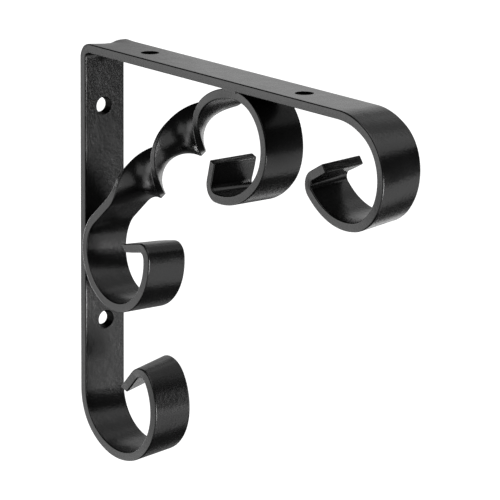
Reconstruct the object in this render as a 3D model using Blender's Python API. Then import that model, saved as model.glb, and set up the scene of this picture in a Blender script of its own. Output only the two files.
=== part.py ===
"""Scroll bracket: an angle of flat steel bar with scrolled ends, and a twisted scroll brace.

The bracket stands off a wall at X = 0 and carries a shelf on its arm. The origin is on the back
of the leg, midway between the two wall holes. +X leaves the wall, +Z is up and -Y is the front.

Both bars are drawn in the XZ plane as a walk of straights and arcs along the middle of their
thickness. The path is that of the front edge. The bars are bent by hand, so the back edge of a
scroll leans away from it by a millimetre or two.
"""

import math
from collections import namedtuple

import bpy
from mathutils import Vector

MM = 0.001

# Bar stock
BAR_WIDTH = 16.0 * MM
BAR_THICK = 3.1 * MM
WELD_GAP = 0.3 * MM

# Screw holes
HOLE_DIAMETER = 6.0 * MM
WALL_HOLE_PITCH = 74.4 * MM
SHELF_HOLES_FROM_WALL = (30.3 * MM, 117.9 * MM)

# Angle: straight lengths are read from the outer corner of the bend
ARM_TOP = 59.4 * MM
ARM_STRAIGHT = 146.6 * MM
LEG_STRAIGHT = 119.9 * MM
INNER_BEND_RADIUS = 2.2 * MM

# Scroll arcs as (radius of the bar's middle in mm, turn in degrees), then the straight tip in mm
ARM_SCROLL = ((27.8, 31.5), (16.75, 138.5), (27.1, 53.0), (3.8, 109.5))
ARM_SCROLL_TIP = 7.5
LEG_SCROLL = ((17.6, 50.0), (24.7, 57.0), (18.3, 107.0), (5.4, 100.0))
LEG_SCROLL_TIP = 8.8
BRACE_WALL_SCROLL = ((14.0, 69.0), (18.6, 165.0), (4.4, 21.5), (3.3, 76.0))
BRACE_WALL_TIP = 9.5
BRACE_ARM_SCROLL = ((22.7, 55.0), (16.2, 117.5), (27.6, 52.0), (3.9, 99.5))
BRACE_ARM_TIP = 7.2

# Brace: a straight rising away from the wall, with one full turn of twist in its middle
BRACE_SLOPE = math.radians(39.0)
TWIST_LENGTH = 67.0
TWIST_TURN = math.radians(-360.0)
TWIST_RUN_IN = 0.14
BRACE_STRAIGHT_TO_WALL_SCROLL = 45.0

# Hand bending, along each walk in mm: (distance, lean of the back edge in X and Z, drift in Y)
ARM_SWAY = ((10.0, 0.0, 0.0, 0.0), (45.0, -2.2, 1.6, 0.0), (80.0, -2.0, 1.4, 0.0), (96.0, -1.2, 0.9, 0.0))
LEG_SWAY = ((0.0, 0.0, 0.0, 0.0), (41.0, -2.2, 1.5, 0.0), (70.0, -3.0, 0.1, 0.0), (84.0, -5.0, 2.0, 0.0))
BRACE_WALL_SWAY = ((0.0, 0.0, 0.0, -1.0), (32.0, 0.0, 0.0, -1.6), (50.0, 1.1, 0.8, -1.6),
                   (75.0, -1.7, 0.3, -1.6), (115.0, -1.6, -1.0, -1.6))
BRACE_ARM_SWAY = ((0.0, 0.0, 0.0, -1.0), (32.0, 0.0, 0.0, 0.7), (53.0, -1.2, 0.1, 2.2),
                  (105.0, -1.2, 0.1, 2.2), (125.0, 1.7, 0.9, 2.2))

# Facets
ARC_STEP = math.radians(5.0)
TWIST_STEP = 1.6
HOLE_SIDES = 32

Station = namedtuple("Station", "x z heading along sway")


def clear_scene():
    for thing in list(bpy.data.objects):
        bpy.data.objects.remove(thing, do_unlink=True)


def smooth(fraction):
    fraction = min(max(fraction, 0.0), 1.0)
    return fraction * fraction * (3.0 - 2.0 * fraction)


def sway_at(keys, along):
    """Lean and drift at a distance along a walk, eased from one key to the next."""
    if along <= keys[0][0]:
        return keys[0][1:]
    for low, high in zip(keys, keys[1:]):
        if along <= high[0]:
            part = smooth((along - low[0]) / (high[0] - low[0]))
            return tuple(a + (b - a) * part for a, b in zip(low[1:], high[1:]))
    return keys[-1][1:]


def straight(length, step):
    return [(step_length, 0.0) for step_length in split(length, step)]


def arc(radius, turn):
    steps = max(1, round(abs(turn) / ARC_STEP))
    chord = 2.0 * radius * math.sin(abs(turn) / steps / 2.0)
    return [(chord, turn / steps)] * steps


def split(length, step):
    count = max(1, round(length / step))
    return [length / count] * count


def scroll(arcs, tip, side):
    """Chords of a scroll that turns to one side: +1 is anticlockwise, seen from the front."""
    chords = []
    for radius, degrees in arcs:
        chords += arc(radius, side * math.radians(degrees))
    return chords + straight(tip, tip)


def walk(x, z, heading, chords, sway_keys, sway_start=0.0):
    """Stations in mm along chords, each of which turns by half its angle before and after."""
    along = -sway_start
    stations = [Station(x, z, heading, along, sway_at(sway_keys, along))]
    for length, turn in chords:
        middle = heading + turn / 2.0
        x += length * math.cos(middle)
        z += length * math.sin(middle)
        heading += turn
        along += length
        stations.append(Station(x, z, heading, along, sway_at(sway_keys, along)))
    return stations


def backwards(stations):
    """The same walk from its far end, with distances counted down to the shared start."""
    return [s._replace(heading=s.heading + math.pi, along=-s.along) for s in reversed(stations)]


def section(station, twist):
    """Four corners of the bar's cross-section: front and back edges, left and right faces."""
    lean_x, lean_z, drift = station.sway
    width = BAR_WIDTH / MM
    along = Vector((math.cos(station.heading), 0.0, math.sin(station.heading)))
    across = Vector((lean_x / width, 1.0, lean_z / width))
    left = along.cross(across).normalized()
    across, left = (across * math.cos(twist) + left * math.sin(twist),
                    left * math.cos(twist) - across * math.sin(twist))
    centre = Vector((station.x + lean_x / 2.0, drift, station.z + lean_z / 2.0))
    half_width = across * width / 2.0
    half_thick = left * (BAR_THICK / MM / 2.0)
    return [(centre - half_width + half_thick) * MM, (centre - half_width - half_thick) * MM,
            (centre + half_width - half_thick) * MM, (centre + half_width + half_thick) * MM]


def bar(name, rings, material):
    """One closed solid swept through rings of four corners."""
    corners = [corner for ring in rings for corner in ring]
    faces = [(3, 2, 1, 0)]
    for first in range(0, len(corners) - 4, 4):
        for side in range(4):
            following = (side + 1) % 4
            faces.append((first + side, first + following, first + 4 + following, first + 4 + side))
    last = len(corners) - 4
    faces.append((last, last + 1, last + 2, last + 3))
    mesh = bpy.data.meshes.new(name)
    mesh.from_pydata(corners, [], faces)
    mesh.validate()
    mesh.update()
    thing = bpy.data.objects.new(name, mesh)
    bpy.context.collection.objects.link(thing)
    mesh.materials.append(material)
    mesh.shade_smooth()
    mesh.set_sharp_from_angle(angle=math.radians(30.0))
    return thing


def drill(thing, name, place, rotation):
    """A plain round hole through the bar."""
    bpy.ops.mesh.primitive_cylinder_add(vertices=HOLE_SIDES, radius=HOLE_DIAMETER / 2.0,
                                        depth=4.0 * BAR_THICK, location=place, rotation=rotation)
    cutter = bpy.context.active_object
    cutter.name = name
    cutter.hide_render = True
    cutter.display_type = "WIRE"
    cut = thing.modifiers.new(name, "BOOLEAN")
    cut.operation = "DIFFERENCE"
    cut.solver = "EXACT"
    cut.object = cutter


def black_powder_coat(name):
    material = bpy.data.materials.new(name)
    material.use_nodes = True
    shader = material.node_tree.nodes["Principled BSDF"]
    shader.inputs["Base Color"].default_value = (0.028, 0.028, 0.030, 1.0)
    shader.inputs["Roughness"].default_value = 0.42
    shader.inputs["Metallic"].default_value = 0.0
    return material


def angle_bar():
    """Leg on the wall and arm under the shelf, one bar bent square, with a scroll at each end."""
    half = BAR_THICK / MM / 2.0
    top = ARM_TOP / MM
    bend = INNER_BEND_RADIUS / MM + half
    leg_start = top - LEG_STRAIGHT / MM
    bend_start = top - half - bend
    arm_run = ARM_STRAIGHT / MM - half - bend

    leg = walk(half, leg_start, math.radians(-90.0), scroll(LEG_SCROLL, LEG_SCROLL_TIP, 1), LEG_SWAY)
    rise = straight(bend_start - leg_start, bend_start - leg_start)
    corner = arc(bend, math.radians(-90.0))
    run = straight(arm_run, arm_run)
    curl = scroll(ARM_SCROLL, ARM_SCROLL_TIP, -1)
    before_curl = sum(length for length, turn in rise + corner + run)
    arm = walk(half, leg_start, math.radians(90.0), rise + corner + run + curl, ARM_SWAY, before_curl)
    rings = [section(station, 0.0) for station in backwards(leg) + arm[1:]]
    thing = bar("angle_bar", rings, black_powder_coat("angle_bar_black"))

    for number, side in enumerate((1, -1), start=1):
        drill(thing, f"wall_hole_{number}", (0.0, 0.0, side * WALL_HOLE_PITCH / 2.0),
              (0.0, math.radians(90.0), 0.0))
    for number, distance in enumerate(SHELF_HOLES_FROM_WALL, start=1):
        drill(thing, f"shelf_hole_{number}", (distance, 0.0, ARM_TOP), (0.0, 0.0, 0.0))
    return thing


def twist_at(along):
    """Turn of the section at a distance from the twist's middle, with eased ends."""
    part = min(max(along / TWIST_LENGTH + 0.5, 0.0), 1.0)
    ease = TWIST_RUN_IN
    if part < ease:
        turned = part * part / (2.0 * ease)
    elif part > 1.0 - ease:
        turned = 1.0 - ease - (1.0 - part) ** 2 / (2.0 * ease)
    else:
        turned = part - ease / 2.0
    return TWIST_TURN * turned / (1.0 - ease)


def twisted_brace():
    """Brace from the leg to the arm, slid along X and Z until each scroll all but touches its bar."""
    half_twist = straight(TWIST_LENGTH / 2.0, TWIST_STEP)
    plain = BRACE_STRAIGHT_TO_WALL_SCROLL - TWIST_LENGTH / 2.0
    down = half_twist + straight(plain, plain) + scroll(BRACE_WALL_SCROLL, BRACE_WALL_TIP, 1)
    up = half_twist + scroll(BRACE_ARM_SCROLL, BRACE_ARM_TIP, -1)
    wall_end = walk(0.0, 0.0, BRACE_SLOPE + math.pi, down, BRACE_WALL_SWAY)
    arm_end = walk(0.0, 0.0, BRACE_SLOPE, up, BRACE_ARM_SWAY)
    rings = [section(station, twist_at(station.along)) for station in backwards(wall_end) + arm_end[1:]]
    thing = bar("twisted_brace", rings, black_powder_coat("twisted_brace_black"))
    nearest_wall = min(vertex.co.x for vertex in thing.data.vertices)
    nearest_arm = max(vertex.co.z for vertex in thing.data.vertices)
    thing.location.x = BAR_THICK + WELD_GAP - nearest_wall
    thing.location.z = ARM_TOP - BAR_THICK - WELD_GAP - nearest_arm
    return thing


clear_scene()
angle_bar()
twisted_brace()
bpy.context.view_layer.update()
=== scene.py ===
"""Scroll bracket in satin black powder coat: a scrolled angle of flat bar, and a twisted brace."""

import math
from collections import namedtuple

import bpy
from mathutils import Matrix, Vector


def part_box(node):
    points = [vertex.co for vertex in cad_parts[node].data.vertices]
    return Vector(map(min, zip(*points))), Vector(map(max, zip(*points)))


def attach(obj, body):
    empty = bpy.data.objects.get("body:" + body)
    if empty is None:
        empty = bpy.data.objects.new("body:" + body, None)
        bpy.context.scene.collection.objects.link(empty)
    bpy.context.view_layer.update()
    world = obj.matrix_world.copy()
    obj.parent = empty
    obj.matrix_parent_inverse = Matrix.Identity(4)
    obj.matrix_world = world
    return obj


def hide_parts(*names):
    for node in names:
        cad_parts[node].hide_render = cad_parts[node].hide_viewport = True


MM = 0.001

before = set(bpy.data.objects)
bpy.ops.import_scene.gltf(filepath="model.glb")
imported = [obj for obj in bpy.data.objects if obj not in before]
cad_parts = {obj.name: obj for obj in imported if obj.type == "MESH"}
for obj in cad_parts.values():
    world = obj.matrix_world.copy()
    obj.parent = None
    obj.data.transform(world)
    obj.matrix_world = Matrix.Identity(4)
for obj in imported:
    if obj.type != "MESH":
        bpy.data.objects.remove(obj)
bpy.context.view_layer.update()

# Bar stock, its rounded edges, and the columns of faces across its width
BAR_WIDTH = 16.0 * MM
BAR_THICK = 3.1 * MM
EDGE_RADIUS = 0.45 * MM
EDGE_STEPS = 3
COLUMNS = 20

# Edges bent more than these are rounded, and stay sharp in the shading
ROUNDED_ABOVE = math.radians(50.0)
SHARP_ABOVE = math.radians(40.0)
FLAT_FACE_WEIGHT = 50

# Points nearer than this are one, and a face looks along an axis if its normal has this share of it
SAME_PLACE = 0.01 * MM
LOOKS_ALONG = 0.9

# Weld that holds the brace to the underside of the arm
BRACE_LIFT = 0.25 * MM
WELD_MIDDLE = (86.9 * MM, -0.02 * MM, 56.35 * MM)
WELD_SIZE = (7.6 * MM, 16.04 * MM, 1.2 * MM)
WELD_SLOPE = 0.25 * MM
WELD_EDGE_RADIUS = 0.12 * MM
WELD_EDGE_STEPS = 2
WELD_ROUNDED_ABOVE = math.radians(30.0)

# Punched screw holes with softened rims, narrower on the far side as a punch leaves them
HOLE_RADIUS = 3.0 * MM
HOLE_SIDES = 64
RIM_RADIUS = 0.15 * MM
RIM_STEPS = 6
RIM_LIFT = 0.03 * MM
WALL_HOLES = ((-0.25 * MM, 37.2 * MM), (0.5 * MM, -37.2 * MM))
WALL_HOLE_TAPERS = (0.85, 0.77)
SHELF_HOLES = (30.3 * MM, 117.9 * MM)
SHELF_HOLE_TAPER = 0.9

# Angle bar, measured from the outer corner of its bend
ARM_TOP = 59.4 * MM
ARM_STRAIGHT = 146.6 * MM
LEG_STRAIGHT = 119.9 * MM
INNER_BEND_RADIUS = 2.2 * MM

# Scroll arcs as (radius of the bar's middle in mm, turn in degrees), the straight tip, and its slanted cut
ARM_SCROLL = ((27.8, 31.5), (16.75, 138.5), (27.1, 53.0), (3.8, 109.5))
ARM_SCROLL_TIP = 7.5 * MM
ARM_SCROLL_CUT = math.radians(-4.0)
LEG_SCROLL = ((17.6, 50.0), (24.7, 57.0), (18.3, 107.0), (5.4, 100.0))
LEG_SCROLL_TIP = 8.8 * MM
LEG_SCROLL_CUT = math.radians(13.0)
BRACE_WALL_SCROLL = ((14.0, 69.0), (18.6, 165.0), (4.4, 21.5), (3.3, 76.0))
BRACE_WALL_TIP = 9.5 * MM
BRACE_WALL_CUT = math.radians(24.0)
BRACE_ARM_SCROLL = ((22.7, 55.0), (16.2, 117.5), (27.6, 52.0), (3.9, 99.5))
BRACE_ARM_TIP = 7.2 * MM
BRACE_ARM_CUT = math.radians(0.0)

# Brace: a straight that rises away from the wall, with one full turn of twist in its middle
BRACE_SLOPE = math.radians(39.0)
TWIST_LENGTH = 67.0 * MM
TWIST_TURN = math.radians(-360.0)
TWIST_RUN_IN = 0.14
BRACE_PLAIN = 11.5 * MM

# Hand bending, in mm along each end: (distance, lean of the back edge in X and Z, drift in Y)
ARM_SWAY = ((10.0, 0.0, 0.0, 0.0), (45.0, -2.2, 1.6, 0.0), (80.0, -2.0, 1.4, 0.0), (96.0, -1.2, 0.9, 0.0))
LEG_SWAY = ((0.0, 0.0, 0.0, 0.0), (41.0, -2.2, 1.5, 0.0), (70.0, -3.0, 0.1, 0.0), (84.0, -5.0, 2.0, 0.0))
BRACE_WALL_SWAY = ((0.0, 0.0, 0.0, -1.0), (32.0, 0.0, 0.0, -1.6), (50.0, 1.1, 0.8, -1.6),
                   (75.0, -1.7, 0.3, -1.6), (115.0, -1.6, -1.0, -1.6))
BRACE_ARM_SWAY = ((0.0, 0.0, 0.0, -1.0), (32.0, 0.0, 0.0, 0.7), (53.0, -1.2, 0.1, 2.2),
                  (105.0, -1.2, 0.1, 2.2), (125.0, 1.7, 0.9, 2.2))

# Spacing of the rings along a bar
STRAIGHT_STEP = 4.0 * MM
TWIST_STEP = 0.8 * MM
ARC_STEP = math.radians(3.0)

# Dish of the bend's outer face, as (share of the width from the front, depth in mm)
BEND_DISH = ((0.0, 0.0), (0.12, 0.1), (0.25, 0.3), (0.45, 0.55), (0.62, 0.6), (0.7, 0.3), (0.77, -0.05),
             (0.85, -0.2), (1.0, -0.2))
DISH_RUN_OUT = 3.0 * MM
DISH_SKIN = 0.8

# Powder coat: its two blacks, the scales of its patches, orange peel and grain, and what each adds
COAT_BLACK = (0.0005, 0.0005, 0.0005, 1.0)
COAT_PALER_BLACK = (0.0018, 0.0018, 0.0019, 1.0)
PATCH_SCALE = 190.0
PEEL_SCALE = 900.0
GRAIN_SCALE = 3000.0
COAT_ROUGHNESS = 0.17
PATCH_ROUGHNESS = 0.08
GRAIN_ROUGHNESS = 0.06
PATCH_HEIGHT = 0.9
PEEL_HEIGHT = 0.6
GRAIN_HEIGHT = 0.07
BUMP_UNIT = 0.1 * MM

# Painted shade: a dark patch on the room side of the leg, just under the bend
BEND_SHADE_POINT = (3.4 * MM, -1.2 * MM, 54.3 * MM)

# Painted shade in the corner between the brace's upper scroll and the arm, where the arm shades the scroll
CORNER_SHADE_POINT = (110.0 * MM, 1.0 * MM, 49.0 * MM)

# Painted shade, as a duller and darker coat mixed in: the distances within which each patch is full and
# beyond which it is gone, its share, and that coat's roughness and sheen
SHADE_IN_HOLE = (3.42 * MM, 3.48 * MM)
SHADE_UNDER_BEND = (1.0 * MM, 2.8 * MM)
SHADE_IN_CORNER = (9.0 * MM, 22.0 * MM)
BEND_SHADE_SHARE = 0.8
CORNER_SHADE_SHARE = 0.75
PAINTED_SHADE_SHARE = 0.93
SHADE_COAT_ROUGHNESS = 0.6
SHADE_COAT_SHEEN = 0.03

# Sheared ends: their two blacks, their ridges and grain, and the dull grooves between the crests
SHEAR_BLACK = (0.0015, 0.0015, 0.0015, 1.0)
SHEAR_PALER_BLACK = (0.0045, 0.0045, 0.0047, 1.0)
RIDGE_SCALE = 1000.0
RIDGE_STRETCH = (1.0, 0.12, 1.0)
RIDGE_HEIGHT = 9.0
SHEAR_GRAIN_SCALE = 1500.0
SHEAR_GRAIN_HEIGHT = 1.5
SHEAR_ROUGHNESS = 0.24
SHEAR_GRAIN_ROUGHNESS = 0.1
GROOVE_ROUGHNESS = 0.6
GROOVE_SHEEN = 0.1
GROOVE_BELOW = 0.35
CREST_ABOVE = 0.65
GROOVE_SHARES = (0.95, 0.25)

# Camera: its place in metres, its angles, and its lens and film in millimetres
CAMERA_PLACE = (1.38816, -0.92653, 0.35668)
CAMERA_AZIMUTH = math.radians(54.517)
CAMERA_PITCH = math.radians(12.507)
CAMERA_ROLL = math.radians(0.288)
CAMERA_LENS = 360.0
CAMERA_FILM = 36.0
CAMERA_NEAR = 0.05
CAMERA_FAR = 100.0

# Floor, as its size and its depth below the origin in metres, and the glow of the white round the bracket
FLOOR_SIZE = 30.0
FLOOR_DEPTH = 6.0
WHITE = (1.0, 1.0, 1.0, 1.0)
WHITE_GLOW = 1.2
AIR_LIGHT = 0.05

# Soft boxes round the bracket: name, azimuth and elevation in degrees, width and height in metres, watts
STUDIO_MIDDLE = (0.085, 0.0, -0.01)
SOFT_BOX_DISTANCE = 0.8
SOFT_BOXES = (
    ("low_right", 10, -15, 0.4, 0.4, 6.8),
    ("over_camera", -15, 52, 0.6, 0.5, 1.4),
    ("wall_side", 180, -12, 0.35, 0.4, 1.5),
    ("left_front", -137, -12, 0.6, 0.8, 1.65),
    ("left_front_high", -135, 5, 0.4, 0.4, 0.45),
    ("left_front_low", -138, -28, 0.4, 0.4, 0.25),
    ("front", -98, -8, 0.45, 0.45, 0.75),
    ("below_left", -152, -44, 0.4, 0.4, 0.6),
    ("under_front", -32, -37, 0.7, 0.65, 1.5),
    ("under_behind", 42, -31, 0.7, 0.55, 1.25),
    ("behind_low", 75, -5, 0.4, 0.4, 1.0),
    ("behind_left_low", 118, -20, 0.45, 0.45, 0.7),
    ("behind_left_floor", 138, -33, 0.4, 0.3, 0.06),
    ("behind_left_mid", 141, 14, 0.45, 0.6, 0.38),
    ("behind_left_tall", 133, 22, 0.4, 0.9, 0.35),
    ("behind", 100, -6, 0.4, 0.4, 0.6),
    ("behind_high", 55, 70, 0.4, 0.4, 0.5),
    ("overhead", 0, 87, 0.6, 0.5, 1.2),
    ("over_behind", 93, 42, 0.7, 0.6, 0.55),
    ("over_right", 42, 46, 0.4, 0.35, 0.5),
)

Ring = namedtuple("Ring", "place heading sway")


def smooth(fraction):
    """A share from nought to one, eased at both ends."""
    fraction = min(max(fraction, 0.0), 1.0)
    return fraction * fraction * (3.0 - 2.0 * fraction)


def sway_at(keys, along):
    """Lean and drift in metres at a distance along a bar's end, eased from one key to the next."""
    reach = along / MM
    keys = (keys[0],) + tuple(keys) + (keys[-1],)
    for low, high in zip(keys, keys[1:]):
        if reach <= high[0]:
            break
    span = high[0] - low[0]
    part = smooth((reach - low[0]) / span) if span else 1.0
    return tuple((a + (b - a) * part) * MM for a, b in zip(low[1:], high[1:]))


def between(keys, value):
    """Straight-line reading of pairs of (value, reading)."""
    for (low, first), (high, second) in zip(keys, keys[1:]):
        if value <= high:
            return first + (second - first) * (value - low) / (high - low)
    return keys[-1][1]


class DrawnEnd:
    """The end of a bar that is being drawn out in edit mode, and the rings that it leaves behind it."""

    def __init__(self, place, heading, sway_keys, sway_start=0.0):
        self.place = Vector(place)
        self.heading = heading
        self.sway_keys = sway_keys
        self.along = -sway_start
        self.rings = []

    def ring_here(self):
        return Ring(self.place.copy(), self.heading, sway_at(self.sway_keys, self.along))

    def ahead(self, length):
        return Vector((math.cos(self.heading), 0.0, math.sin(self.heading))) * length

    def straight(self, length):
        """Draws the selected end out in a straight line."""
        steps = max(1, round(length / STRAIGHT_STEP))
        stride = self.ahead(length / steps)
        for _ in range(steps):
            bpy.ops.mesh.extrude_region_move(TRANSFORM_OT_translate={"value": stride})
            self.place += stride
            self.along += length / steps
            self.rings.append(self.ring_here())

    def arc(self, radius, turn):
        """Bends the selected end round an arc; a turn above zero is anticlockwise from the front."""
        steps = max(1, round(abs(turn) / ARC_STEP))
        outward = self.ahead(math.copysign(radius, turn))
        centre = self.place + Vector((-outward.z, 0.0, outward.x))
        bpy.ops.mesh.spin(steps=steps, dupli=False, angle=turn, center=centre, axis=(0.0, 1.0, 0.0))
        step = Matrix.Rotation(-turn / steps, 3, "Y")
        for _ in range(steps):
            self.place = centre + step @ (self.place - centre)
            self.heading += turn / steps
            self.along += radius * abs(turn) / steps
            self.rings.append(self.ring_here())

    def scroll(self, arcs, tip, cut, side):
        """A scroll of arcs that turn to one side, and its straight tip, whose cut runs out on the outer side.

        The cut face takes the bar's second material.
        """
        for radius, degrees in arcs:
            self.arc(radius * MM, side * math.radians(degrees))
        self.straight(tip)
        bpy.ops.transform.rotate(value=side * cut, orient_axis="Y", center_override=self.place)
        bpy.context.active_object.active_material_index = 1
        bpy.ops.object.material_slot_assign()

    def twist(self, length, side):
        """Draws out one half of the twist, from its middle, and turns each new ring a little more."""
        steps = round(length / TWIST_STEP)
        stride = self.ahead(length / steps)
        for number in range(steps):
            bpy.ops.mesh.extrude_region_move(TRANSFORM_OT_translate={"value": stride})
            self.place += stride
            self.along += length / steps
            reach = side * length / steps
            swing = twist_at((number + 1) * reach) - twist_at(number * reach)
            bpy.ops.transform.rotate(value=-swing, orient_axis="X", center_override=self.place)
            self.rings.append(self.ring_here())


def twist_at(along):
    """Turn of the section at a distance from the twist's middle, with eased ends."""
    part = min(max(along / TWIST_LENGTH + 0.5, 0.0), 1.0)
    ease = TWIST_RUN_IN
    if part < ease:
        turned = part * part / (2.0 * ease)
    elif part > 1.0 - ease:
        turned = 1.0 - ease - (1.0 - part) ** 2 / (2.0 * ease)
    else:
        turned = part - ease / 2.0
    return TWIST_TURN * turned / (1.0 - ease)


def pick(piece):
    """Leaves one piece alone selected and active."""
    bpy.ops.object.select_all(action="DESELECT")
    piece.select_set(True)
    bpy.context.view_layer.objects.active = piece


def start_section(name, place, turn, materials):
    """The bar's cut section as a grid, left in edit mode with its faces selected."""
    bpy.ops.object.select_all(action="DESELECT")
    bpy.ops.mesh.primitive_grid_add(x_subdivisions=1, y_subdivisions=COLUMNS, size=1.0, location=place,
                                    rotation=(0.0, turn, 0.0))
    bar = bpy.context.active_object
    bar.name = name
    for material in materials:
        bar.data.materials.append(material)
    bar.scale = (BAR_THICK, BAR_WIDTH, 1.0)
    bpy.ops.object.transform_apply(location=True, rotation=True, scale=True)
    bpy.ops.object.mode_set(mode="EDIT")
    bpy.ops.mesh.select_mode(type="FACE")
    bpy.ops.mesh.select_all(action="SELECT")
    return bar


def select_faces(bar, wanted):
    """Selects the faces for which wanted(centre, normal) is true, and stays in edit mode."""
    bpy.ops.mesh.select_all(action="DESELECT")
    bpy.ops.object.mode_set(mode="OBJECT")
    for face in bar.data.polygons:
        face.select = wanted(face.center, face.normal)
    bpy.ops.object.mode_set(mode="EDIT")


def bend_by_hand(bar, rings):
    """Leans and drifts each ring of the bar, and keeps its section square to its edges."""
    points = 2 * (COLUMNS + 1)
    for number, ring in enumerate(rings):
        lean_x, lean_z, drift = ring.sway
        along = Vector((math.cos(ring.heading), 0.0, math.sin(ring.heading)))
        across = Vector((lean_x / BAR_WIDTH, 1.0, lean_z / BAR_WIDTH))
        square_left = Vector((-along.z, 0.0, along.x))
        tilt = along.cross(across).normalized() - square_left
        for vertex in bar.data.vertices[number * points:(number + 1) * points]:
            share = vertex.co.y / BAR_WIDTH + 0.5
            height = (vertex.co - ring.place).dot(square_left)
            vertex.co += Vector((lean_x * share, drift, lean_z * share)) + tilt * height


def finish_with(piece, kind, **settings):
    """Adds a modifier with these settings to the piece and applies it."""
    pick(piece)
    modifier = piece.modifiers.new(kind.title(), kind)
    for name, value in settings.items():
        setattr(modifier, name, value)
    bpy.ops.object.modifier_apply(modifier=modifier.name)


def round_edges(bar):
    """Turns the skin outwards and rounds every edge of the bar."""
    bpy.ops.object.mode_set(mode="EDIT")
    bpy.ops.mesh.select_all(action="SELECT")
    bpy.ops.mesh.remove_doubles(threshold=SAME_PLACE)
    bpy.ops.mesh.normals_make_consistent(inside=False)
    bpy.ops.object.mode_set(mode="OBJECT")
    finish_with(bar, "BEVEL", width=EDGE_RADIUS, segments=EDGE_STEPS, limit_method="ANGLE",
                angle_limit=ROUNDED_ABOVE, use_clamp_overlap=False)


def hole_cutter(place, rotation, taper):
    """A round cutter that narrows to its far side, with flared ends that leave soft rims."""
    bpy.ops.object.select_all(action="DESELECT")
    rim_start = BAR_THICK / 2.0 - RIM_RADIUS + RIM_LIFT
    quarter = [math.radians(90.0 * step / RIM_STEPS) for step in range(RIM_STEPS + 1)]
    flare = [(HOLE_RADIUS + RIM_RADIUS * (1.0 - math.cos(angle)), rim_start + RIM_RADIUS * math.sin(angle))
             for angle in quarter]
    profile = [(radius * taper, -height) for radius, height in reversed(flare)] + flare
    profile.append((profile[-1][0], BAR_THICK))
    bpy.ops.mesh.primitive_circle_add(vertices=HOLE_SIDES, radius=profile[0][0], fill_type="NGON",
                                      location=(0.0, 0.0, -BAR_THICK))
    cutter = bpy.context.active_object
    bpy.ops.object.transform_apply(location=True)
    bpy.ops.object.mode_set(mode="EDIT")
    bpy.ops.mesh.select_all(action="SELECT")
    radius, height = profile[0][0], -BAR_THICK
    for next_radius, next_height in profile:
        bpy.ops.mesh.extrude_region_move(TRANSFORM_OT_translate={"value": (0.0, 0.0, next_height - height)})
        grow = next_radius / radius
        bpy.ops.transform.resize(value=(grow, grow, 1.0), center_override=(0.0, 0.0, next_height))
        radius, height = next_radius, next_height
    bpy.ops.mesh.select_all(action="SELECT")
    bpy.ops.mesh.normals_make_consistent(inside=False)
    bpy.ops.object.mode_set(mode="OBJECT")
    cutter.location = place
    cutter.rotation_euler = rotation
    return cutter


def drill(bar, place, rotation, taper):
    """Cuts one screw hole through the bar."""
    cutter = hole_cutter(place, rotation, taper)
    finish_with(bar, "BOOLEAN", operation="DIFFERENCE", solver="EXACT", object=cutter)
    bpy.data.objects.remove(cutter, do_unlink=True)


def shade(piece):
    """Smooth shading with flat faces kept flat."""
    pick(piece)
    bpy.ops.object.shade_smooth_by_angle(angle=SHARP_ABOVE)
    finish_with(piece, "WEIGHTED_NORMAL", mode="FACE_AREA", weight=FLAT_FACE_WEIGHT, keep_sharp=True)


def dish_bend(bar, centre, outer_radius):
    """Sinks the outer face of the bend between its two edges, as bar does when it is bent cold."""
    for vertex in bar.data.vertices:
        arm = Vector((vertex.co.x - centre.x, 0.0, vertex.co.z - centre.z))
        if arm.x > DISH_RUN_OUT or arm.z < -DISH_RUN_OUT or arm.length < outer_radius * DISH_SKIN:
            continue
        share = vertex.co.y / BAR_WIDTH + 0.5
        off_corner = max(0.0, arm.x, -arm.z) / DISH_RUN_OUT
        depth = between(BEND_DISH, share) * MM * (1.0 - smooth(off_corner))
        vertex.co -= arm.normalized() * depth


def angle_bar_piece(materials):
    """Leg and arm in one bar: drawn up the leg, round the bend, along the arm and into its scroll.

    The leg's own scroll is drawn last, down from where the bar was started.
    """
    half = BAR_THICK / 2.0
    bend = INNER_BEND_RADIUS + half
    leg_start = Vector((half, 0.0, ARM_TOP - LEG_STRAIGHT))
    rise = LEG_STRAIGHT - half - bend
    run = ARM_STRAIGHT - half - bend

    bar = start_section("angle_bar_coated", leg_start, 0.0, materials)
    arm = DrawnEnd(leg_start, math.radians(90.0), ARM_SWAY, rise + bend * math.pi / 2.0 + run)
    first = arm.ring_here()
    arm.straight(rise)
    arm.arc(bend, math.radians(-90.0))
    arm.straight(run)
    arm.scroll(ARM_SCROLL, ARM_SCROLL_TIP, ARM_SCROLL_CUT, -1)

    select_faces(bar, lambda centre, normal: abs(centre.z - leg_start.z) < SAME_PLACE
                 and abs(normal.z) > LOOKS_ALONG and abs(centre.x - half) < half)
    leg = DrawnEnd(leg_start, math.radians(-90.0), LEG_SWAY)
    leg.scroll(LEG_SCROLL, LEG_SCROLL_TIP, LEG_SCROLL_CUT, 1)
    bpy.ops.object.mode_set(mode="OBJECT")

    bend_by_hand(bar, [first] + arm.rings + leg.rings)
    bend_centre = Vector((half + bend, 0.0, ARM_TOP - half - bend))
    dish_bend(bar, bend_centre, bend + half)
    round_edges(bar)
    for (sideways, height), taper in zip(WALL_HOLES, WALL_HOLE_TAPERS):
        drill(bar, (half, sideways, height), (0.0, math.radians(90.0), 0.0), taper)
    for distance in SHELF_HOLES:
        drill(bar, (distance, 0.0, ARM_TOP - half), (0.0, 0.0, 0.0), SHELF_HOLE_TAPER)
    shade(bar)
    return bar


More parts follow.
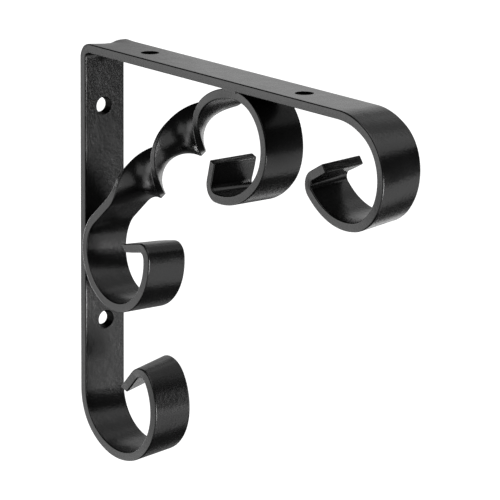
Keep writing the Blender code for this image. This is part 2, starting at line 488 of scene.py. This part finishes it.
def brace_piece(materials):
    """The brace, drawn both ways from the middle of its twist and then tilted to its slope."""
    bar = start_section("twisted_brace_coated", (0.0, 0.0, 0.0), math.radians(90.0), materials)
    up = DrawnEnd((0.0, 0.0, 0.0), 0.0, BRACE_ARM_SWAY)
    first = up.ring_here()
    up.twist(TWIST_LENGTH / 2.0, 1)
    up.scroll(BRACE_ARM_SCROLL, BRACE_ARM_TIP, BRACE_ARM_CUT, -1)

    select_faces(bar, lambda centre, normal: abs(centre.x) < SAME_PLACE
                 and abs(normal.x) > LOOKS_ALONG and abs(centre.z) < BAR_WIDTH)
    down = DrawnEnd((0.0, 0.0, 0.0), math.radians(180.0), BRACE_WALL_SWAY)
    down.twist(TWIST_LENGTH / 2.0, -1)
    down.straight(BRACE_PLAIN)
    down.scroll(BRACE_WALL_SCROLL, BRACE_WALL_TIP, BRACE_WALL_CUT, 1)
    bpy.ops.object.mode_set(mode="OBJECT")

    bar.rotation_euler = (0.0, -BRACE_SLOPE, 0.0)
    bpy.ops.object.transform_apply(location=True, rotation=True, scale=True)
    tilt = Matrix.Rotation(-BRACE_SLOPE, 3, "Y")
    rings = [Ring(tilt @ ring.place, ring.heading + BRACE_SLOPE, ring.sway)
             for ring in [first] + up.rings + down.rings]
    bend_by_hand(bar, rings)

    low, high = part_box("twisted_brace")
    bar.location.x = low.x - min(vertex.co.x for vertex in bar.data.vertices)
    bar.location.z = high.z + BRACE_LIFT - max(vertex.co.z for vertex in bar.data.vertices)
    bpy.ops.object.transform_apply(location=True, rotation=True, scale=True)
    round_edges(bar)
    shade(bar)
    return bar


def weld_piece(material):
    """Weld metal that fills the sliver between the brace's upper scroll and the arm.

    Its front face slopes back towards the brace.
    """
    bpy.ops.object.select_all(action="DESELECT")
    bpy.ops.mesh.primitive_cube_add(size=1.0, location=WELD_MIDDLE)
    weld = bpy.context.active_object
    weld.name = "arm_weld"
    weld.data.materials.append(material)
    weld.scale = WELD_SIZE
    bpy.ops.object.transform_apply(location=True, rotation=True, scale=True)
    bpy.ops.object.mode_set(mode="EDIT")
    bpy.ops.mesh.select_mode(type="EDGE")
    bpy.ops.mesh.select_all(action="DESELECT")
    bpy.ops.object.mode_set(mode="OBJECT")
    for vertex in weld.data.vertices:
        vertex.select = vertex.co.y < 0.0 and vertex.co.z < WELD_MIDDLE[2]
    for edge in weld.data.edges:
        edge.select = all(weld.data.vertices[index].select for index in edge.vertices)
    bpy.ops.object.mode_set(mode="EDIT")
    bpy.ops.transform.translate(value=(0.0, WELD_SLOPE, 0.0))
    bpy.ops.object.mode_set(mode="OBJECT")
    finish_with(weld, "BEVEL", width=WELD_EDGE_RADIUS, segments=WELD_EDGE_STEPS, limit_method="ANGLE",
                angle_limit=WELD_ROUNDED_ABOVE)
    shade(weld)
    return weld


class Socket:
    """A shader value that takes part in sums, so that maths is written as Python expressions."""

    def __init__(self, graph, link):
        self.graph = graph
        self.link = link

    def maths(self, operation, *values):
        return self.graph.add("ShaderNodeMath", {"operation": operation}, values)

    def __add__(self, other):
        return self.maths("ADD", self, other)

    def __radd__(self, other):
        return self.maths("ADD", other, self)

    def __sub__(self, other):
        return self.maths("SUBTRACT", self, other)

    def __rsub__(self, other):
        return self.maths("SUBTRACT", other, self)

    def __mul__(self, other):
        return self.maths("MULTIPLY", self, other)

    def __rmul__(self, other):
        return self.maths("MULTIPLY", other, self)


class Graph:
    """The cleared node tree of a material or of the world, and the few nodes that the coat is made of."""

    def __init__(self, owner):
        owner.use_nodes = True
        self.tree = owner.node_tree
        self.tree.nodes.clear()

    def add(self, kind, settings=None, sockets=(), output=0):
        """Adds any node by its type, its settings, and the values or links of its sockets."""
        node = self.tree.nodes.new(kind)
        for name, value in (settings or {}).items():
            setattr(node, name, value)
        pairs = sockets.items() if isinstance(sockets, dict) else enumerate(sockets)
        for key, value in pairs:
            if isinstance(value, Socket):
                self.tree.links.new(value.link, node.inputs[key])
            else:
                node.inputs[key].default_value = value
        return Socket(self, node.outputs[output]) if node.outputs else None

    def noise(self, place, scale, detail, roughness=0.5):
        return self.add("ShaderNodeTexNoise", {},
                        {"Vector": place, "Scale": scale, "Detail": detail, "Roughness": roughness})

    def mixed(self, share, colour, other_colour):
        return self.add("ShaderNodeMix", {"data_type": "RGBA"}, {0: share, 6: colour, 7: other_colour},
                        output=2)

    def bumps(self, height):
        return self.add("ShaderNodeBump", {}, {"Strength": 1.0, "Distance": BUMP_UNIT, "Height": height})

    def fade(self, value, start, end, before=1.0, beyond=0.0):
        """Eases from one amount before the start to another beyond the end."""
        return self.add("ShaderNodeMapRange", {"interpolation_type": "SMOOTHSTEP"},
                        {"Value": value, "From Min": start, "From Max": end, "To Min": before,
                         "To Max": beyond})

    def near(self, place, point, full, none):
        """One within the full distance of a point, and nothing beyond the other distance."""
        distance = self.add("ShaderNodeVectorMath", {"operation": "DISTANCE"}, {0: place, 1: point}, output=1)
        return self.fade(distance, full, none)

    def off_edges(self, place, drift):
        """One on the broad faces of a bar that has drifted this far in Y, and nothing on its two edges."""
        sideways = self.add("ShaderNodeSeparateXYZ", {}, (place,), output=1) - drift
        broad = BAR_WIDTH / 2.0 - EDGE_RADIUS
        edge = BAR_WIDTH / 2.0 - EDGE_RADIUS / 4.0
        return self.fade(sideways * sideways, broad ** 2, edge ** 2)


def satin_black_coat(name, holes=(), bend_shade=None, shade_corner=None):
    """Black powder coat: deep black, satin, with the fine orange peel of baked powder.

    It has painted shade inside the holes, under the bend, and in the corner under the arm: a duller, darker
    coat mixed in there.
    """
    material = bpy.data.materials.new(name)
    graph = Graph(material)
    place = graph.add("ShaderNodeTexCoord", output=3)
    patches = graph.noise(place, PATCH_SCALE, detail=3.0)
    peel = graph.noise(place, PEEL_SCALE, detail=3.0, roughness=0.6)
    grain = graph.noise(place, GRAIN_SCALE, detail=1.0)
    colour = graph.mixed(patches, COAT_BLACK, COAT_PALER_BLACK)
    roughness = COAT_ROUGHNESS + PATCH_ROUGHNESS * patches + GRAIN_ROUGHNESS * grain
    bumps = graph.bumps(peel * PEEL_HEIGHT + grain * GRAIN_HEIGHT + patches * PATCH_HEIGHT)
    shader = graph.add("ShaderNodeBsdfPrincipled", {},
                       {"Base Color": colour, "Roughness": roughness, "Normal": bumps, "Metallic": 0.0})
    # Painted shade: a duller, darker coat mixed in inside the hole bores, under the bend and in the corner
    # under the arm
    painted_shade = [graph.near(place, hole, *SHADE_IN_HOLE) for hole in holes]
    if bend_shade:
        painted_shade.append(graph.near(place, bend_shade, *SHADE_UNDER_BEND) * BEND_SHADE_SHARE)
    if shade_corner:
        off_edges = graph.off_edges(place, BRACE_ARM_SWAY[-1][3] * MM)
        painted_shade.append(graph.near(place, shade_corner, *SHADE_IN_CORNER) * off_edges * CORNER_SHADE_SHARE)
    if painted_shade:
        shaded_coat = graph.add("ShaderNodeBsdfPrincipled", {},
                         {"Base Color": COAT_BLACK, "Roughness": SHADE_COAT_ROUGHNESS,
                          "Specular IOR Level": SHADE_COAT_SHEEN})
        share = sum(painted_shade[1:], painted_shade[0]) * PAINTED_SHADE_SHARE
        shader = graph.add("ShaderNodeMixShader", {}, {0: share, 1: shader, 2: shaded_coat})
    graph.add("ShaderNodeOutputMaterial", {}, {"Surface": shader})
    return material


def sheared_end(name):
    """The same coat over the ridges that the shear left along the bar's cut ends."""
    material = bpy.data.materials.new(name)
    graph = Graph(material)
    place = graph.add("ShaderNodeTexCoord", output=3)
    stretched = graph.add("ShaderNodeVectorMath", {"operation": "MULTIPLY"}, {0: place, 1: RIDGE_STRETCH})
    ridges = graph.noise(stretched, RIDGE_SCALE, detail=3.0)
    grain = graph.noise(place, SHEAR_GRAIN_SCALE, detail=2.0)
    bumps = graph.bumps(ridges * RIDGE_HEIGHT + grain * SHEAR_GRAIN_HEIGHT)
    colour = graph.mixed(ridges, SHEAR_BLACK, SHEAR_PALER_BLACK)
    roughness = SHEAR_ROUGHNESS + SHEAR_GRAIN_ROUGHNESS * grain
    crest = graph.add("ShaderNodeBsdfPrincipled", {},
                      {"Base Color": colour, "Roughness": roughness, "Normal": bumps, "Metallic": 0.0})
    groove = graph.add("ShaderNodeBsdfPrincipled", {},
                       {"Base Color": colour, "Roughness": GROOVE_ROUGHNESS,
                        "Specular IOR Level": GROOVE_SHEEN, "Normal": bumps})
    depth = graph.fade(ridges, GROOVE_BELOW, CREST_ABOVE, *GROOVE_SHARES)
    shader = graph.add("ShaderNodeMixShader", {}, {0: depth, 1: crest, 2: groove})
    graph.add("ShaderNodeOutputMaterial", {}, {"Surface": shader})
    return material


def place_camera():
    """The photograph's camera: a long lens to the right of the front and a little above."""
    camera = bpy.data.cameras.new("camera")
    camera.lens = CAMERA_LENS
    camera.sensor_width = CAMERA_FILM
    camera.clip_start = CAMERA_NEAR
    camera.clip_end = CAMERA_FAR
    forward = Vector((-math.sin(CAMERA_AZIMUTH) * math.cos(CAMERA_PITCH),
                      math.cos(CAMERA_AZIMUTH) * math.cos(CAMERA_PITCH), -math.sin(CAMERA_PITCH)))
    level_right = Vector((math.cos(CAMERA_AZIMUTH), math.sin(CAMERA_AZIMUTH), 0.0))
    level_up = level_right.cross(forward)
    right = level_right * math.cos(CAMERA_ROLL) + level_up * math.sin(CAMERA_ROLL)
    up = level_up * math.cos(CAMERA_ROLL) - level_right * math.sin(CAMERA_ROLL)
    thing = bpy.data.objects.new("camera", camera)
    thing.matrix_world = Matrix((right, up, -forward)).transposed().to_4x4()
    thing.location = CAMERA_PLACE
    bpy.context.scene.collection.objects.link(thing)
    bpy.context.scene.camera = thing


def glow(name, strength):
    """Plain white that shines by itself, as an overexposed studio floor does."""
    material = bpy.data.materials.new(name)
    graph = Graph(material)
    light = graph.add("ShaderNodeEmission", {}, {"Color": WHITE, "Strength": strength})
    graph.add("ShaderNodeOutputMaterial", {}, {"Surface": light})
    return material


def white_floor():
    """A pale floor that the camera alone sees, so far down that a low view still looks over it."""
    bpy.ops.object.select_all(action="DESELECT")
    bpy.ops.mesh.primitive_plane_add(size=FLOOR_SIZE, location=(0.0, 0.0, -FLOOR_DEPTH))
    floor = bpy.context.active_object
    floor.name = "floor"
    floor.data.materials.append(glow("floor_white", WHITE_GLOW))
    floor.visible_diffuse = False
    floor.visible_glossy = False
    floor.visible_shadow = False


def studio_world():
    """White behind everything, and only a breath of light in the open air."""
    world = bpy.data.worlds.new("studio")
    bpy.context.scene.world = world
    graph = Graph(world)
    seen = graph.add("ShaderNodeLightPath")
    air = graph.add("ShaderNodeBackground", {}, {"Color": WHITE, "Strength": AIR_LIGHT})
    white = graph.add("ShaderNodeBackground", {}, {"Color": WHITE, "Strength": WHITE_GLOW})
    both = graph.add("ShaderNodeMixShader", {}, {0: seen, 1: air, 2: white})
    graph.add("ShaderNodeOutputWorld", {}, {"Surface": both})


def soft_boxes():
    """Soft boxes round the bracket, all at one distance and turned to its middle."""
    middle = Vector(STUDIO_MIDDLE)
    for name, azimuth, elevation, width, height, watts in SOFT_BOXES:
        turn = math.radians(azimuth)
        lift = math.radians(elevation)
        outward = Vector((math.cos(turn) * math.cos(lift), math.sin(turn) * math.cos(lift), math.sin(lift)))
        light = bpy.data.lights.new(f"soft_box_{name}", "AREA")
        light.shape = "RECTANGLE"
        light.size = width
        light.size_y = height
        light.energy = watts
        thing = bpy.data.objects.new(light.name, light)
        thing.location = middle + outward * SOFT_BOX_DISTANCE
        thing.rotation_euler = outward.to_track_quat("Z", "Y").to_euler()
        thing.visible_camera = False
        bpy.context.scene.collection.objects.link(thing)


place_camera()
white_floor()
studio_world()
soft_boxes()
bpy.context.scene.view_settings.view_transform = "Standard"

bar_middle = BAR_THICK / 2.0
hole_middles = [(bar_middle, sideways, height) for sideways, height in WALL_HOLES]
hole_middles += [(distance, 0.0, ARM_TOP - bar_middle) for distance in SHELF_HOLES]

# The angle bar's coat carries painted shade in its hole bores and just under the bend
angle_bar = angle_bar_piece((satin_black_coat("angle_bar_powder_coat", hole_middles, BEND_SHADE_POINT),
                             sheared_end("angle_bar_sheared_end")))
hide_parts("angle_bar")
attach(angle_bar, "root")

# The brace's coat carries painted shade on its upper scroll, in the corner under the arm
brace = brace_piece((satin_black_coat("brace_powder_coat", shade_corner=CORNER_SHADE_POINT),
                     sheared_end("brace_sheared_end")))
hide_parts("twisted_brace")
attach(brace, "root")

weld = weld_piece(satin_black_coat("weld_powder_coat"))
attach(weld, "root")
